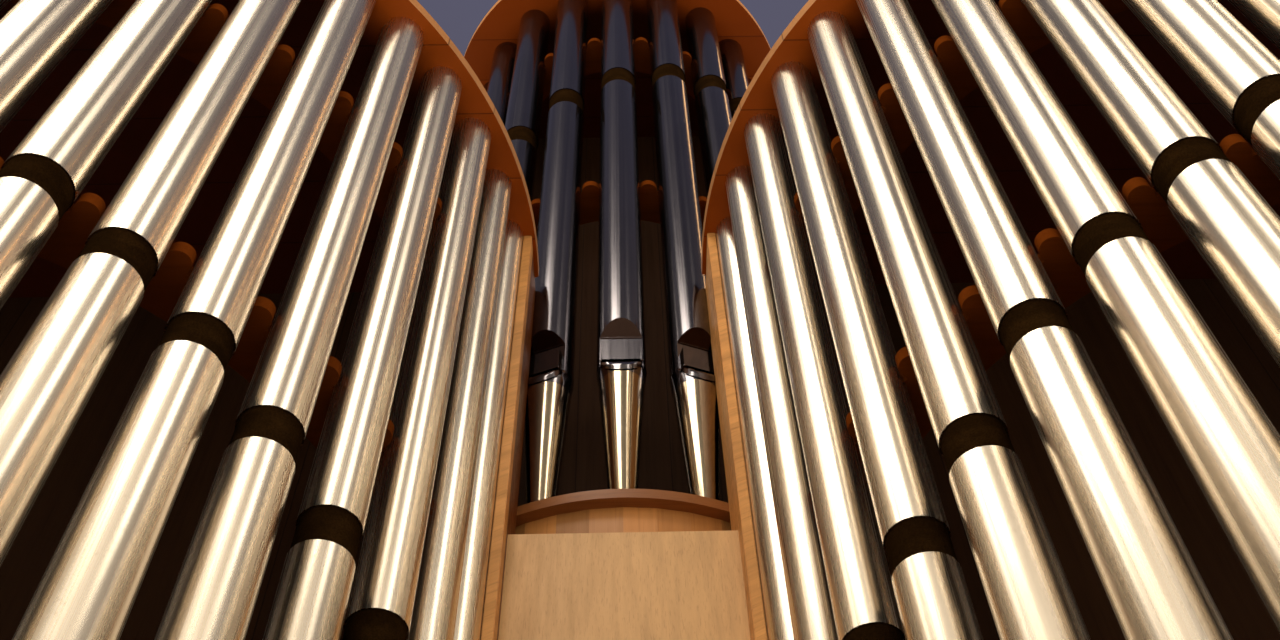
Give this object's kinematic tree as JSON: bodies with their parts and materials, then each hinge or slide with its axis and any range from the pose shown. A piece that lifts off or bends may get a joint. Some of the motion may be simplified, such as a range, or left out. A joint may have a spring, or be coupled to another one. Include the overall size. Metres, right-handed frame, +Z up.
{
  "type": "pipe organ",
  "caption": "Pipe organ in a wooden case: two wide half-round towers of tin front pipes, and a tall narrow half-round tower set back between them.",
  "frame": {"origin": "on the floor, at the middle of the outline seen from above", "axes": "+Z up, front faces -Y, +X to the right as seen from the front"},
  "size_m": [6.54, 3.28, 8.46],
  "materials": {
    "honey_wood": "satin",
    "inner_wood": "matt",
    "rack_wood": "satin",
    "pipe_tin": "polished",
    "sleeve_black": "matt"
  },
  "bodies": {
    "root": {"plinth": "inner_wood", "back_wall": "honey_wood", "centre_panel": "honey_wood", "centre_shelf": "honey_wood", "centre_frieze": "honey_wood", "centre_toe_board": "honey_wood", "left_base_front": "honey_wood", "right_base_front": "honey_wood", "left_inner_post": "honey_wood", "right_inner_post": "honey_wood", "left_outer_post": "honey_wood", "right_outer_post": "honey_wood", "left_side_wall": "honey_wood", "right_side_wall": "honey_wood", "left_inner_wall": "inner_wood", "right_inner_wall": "inner_wood", "left_toe_board": "honey_wood", "right_toe_board": "honey_wood", "left_lower_rack": "rack_wood", "right_lower_rack": "rack_wood", "left_upper_rack": "rack_wood", "right_upper_rack": "rack_wood", "left_roof": "honey_wood", "right_roof": "honey_wood", "left_pipes": "pipe_tin", "right_pipes": "pipe_tin", "left_sleeves": "sleeve_black", "right_sleeves": "sleeve_black", "left_upper_tubes": "pipe_tin", "right_upper_tubes": "pipe_tin", "centre_left_cheek": "honey_wood", "centre_right_cheek": "honey_wood", "centre_inner_wall": "inner_wood", "centre_back_wall": "honey_wood", "centre_lower_rack": "rack_wood", "centre_upper_rack": "rack_wood", "centre_pipes": "pipe_tin", "centre_sleeves": "sleeve_black", "centre_upper_tubes": "pipe_tin", "centre_roof": "honey_wood"}
  },
  "joints": []
}
